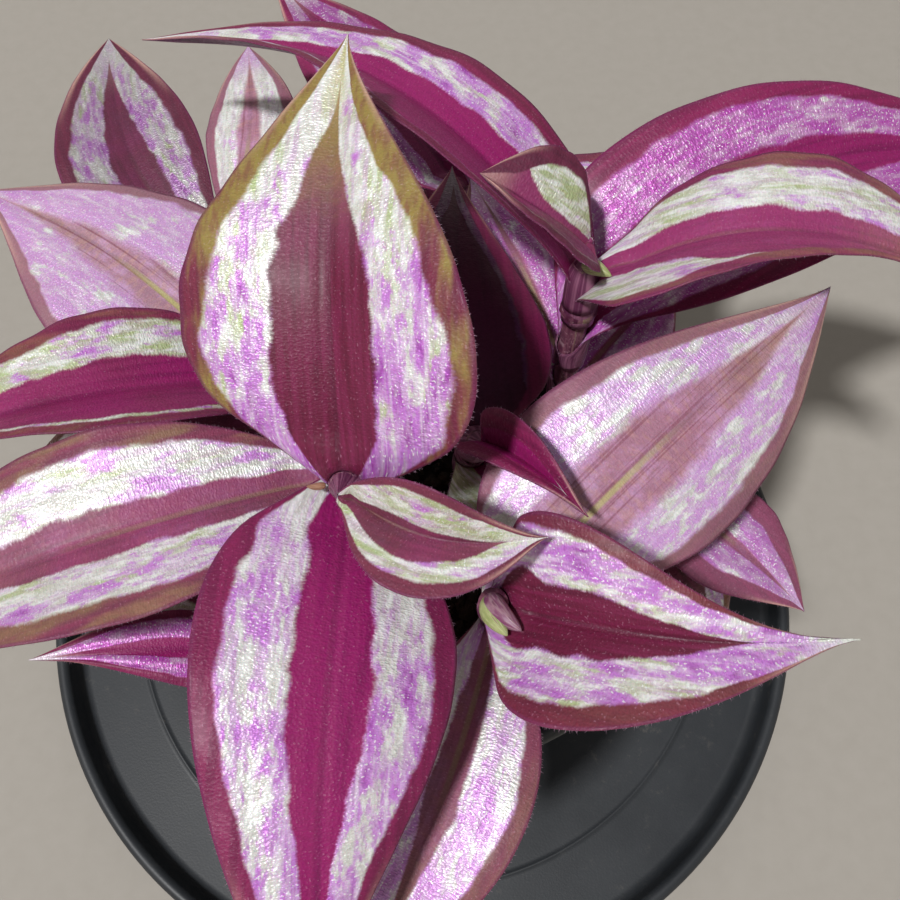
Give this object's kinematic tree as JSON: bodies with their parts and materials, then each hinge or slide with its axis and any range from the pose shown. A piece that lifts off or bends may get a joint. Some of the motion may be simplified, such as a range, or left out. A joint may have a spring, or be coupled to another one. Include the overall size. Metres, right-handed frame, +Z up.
{
  "type": "potted tradescantia",
  "caption": "House plant with striped purple and silver leaves on short shoots, in a small round pot on a wide shallow saucer.",
  "frame": {"origin": "centre of the saucer's flat underside, on the surface that the plant stands on", "axes": "+Z up along the pot's axis; -Y towards the viewer of the picture; +X to the viewer's right"},
  "size_m": [0.1681, 0.1556, 0.1246],
  "materials": {
    "leaf": "thin living leaf, satin, maroon and purple with shimmering silver stripes",
    "stem": "soft living stem, satin purple brown",
    "soil": "moist dark potting soil, crumbly and matt",
    "pot": "anthracite plastic, satin",
    "saucer": "anthracite plastic, satin"
  },
  "bodies": {
    "root": {"leaf_back_hood": "leaf", "leaf_back_long": "leaf", "leaf_back_low": "leaf", "leaf_back_low_right": "leaf", "leaf_back_right_lower": "leaf", "leaf_back_right_upper": "leaf", "leaf_far_back": "leaf", "leaf_far_left": "leaf", "leaf_far_right": "leaf", "leaf_front_left": "leaf", "leaf_front_low": "leaf", "leaf_front_lower": "leaf", "leaf_front_upper": "leaf", "leaf_front_young": "leaf", "leaf_left_back": "leaf", "leaf_left_low": "leaf", "leaf_left_lower": "leaf", "leaf_left_upper": "leaf", "leaf_left_young": "leaf", "leaf_middle_folded": "leaf", "leaf_middle_low": "leaf", "leaf_middle_lower": "leaf", "leaf_middle_upper": "leaf", "leaf_near_back": "leaf", "leaf_near_front": "leaf", "leaf_near_left": "leaf", "leaf_near_right": "leaf", "leaf_near_young": "leaf", "leaf_rear_back": "leaf", "leaf_rear_left": "leaf", "leaf_rear_low": "leaf", "leaf_rear_right": "leaf", "leaf_rear_young": "leaf", "leaf_right_low_front": "leaf", "leaf_right_low_side": "leaf", "leaf_right_lower": "leaf", "leaf_right_upper": "leaf", "leaf_side_back": "leaf", "leaf_side_front": "leaf", "leaf_side_low": "leaf", "leaf_side_young": "leaf", "pot": "pot", "saucer": "saucer", "soil": "soil", "stem_back": "stem", "stem_far": "stem", "stem_front": "stem", "stem_left": "stem", "stem_middle": "stem", "stem_near": "stem", "stem_rear": "stem", "stem_right": "stem", "stem_side": "stem"}
  },
  "joints": []
}
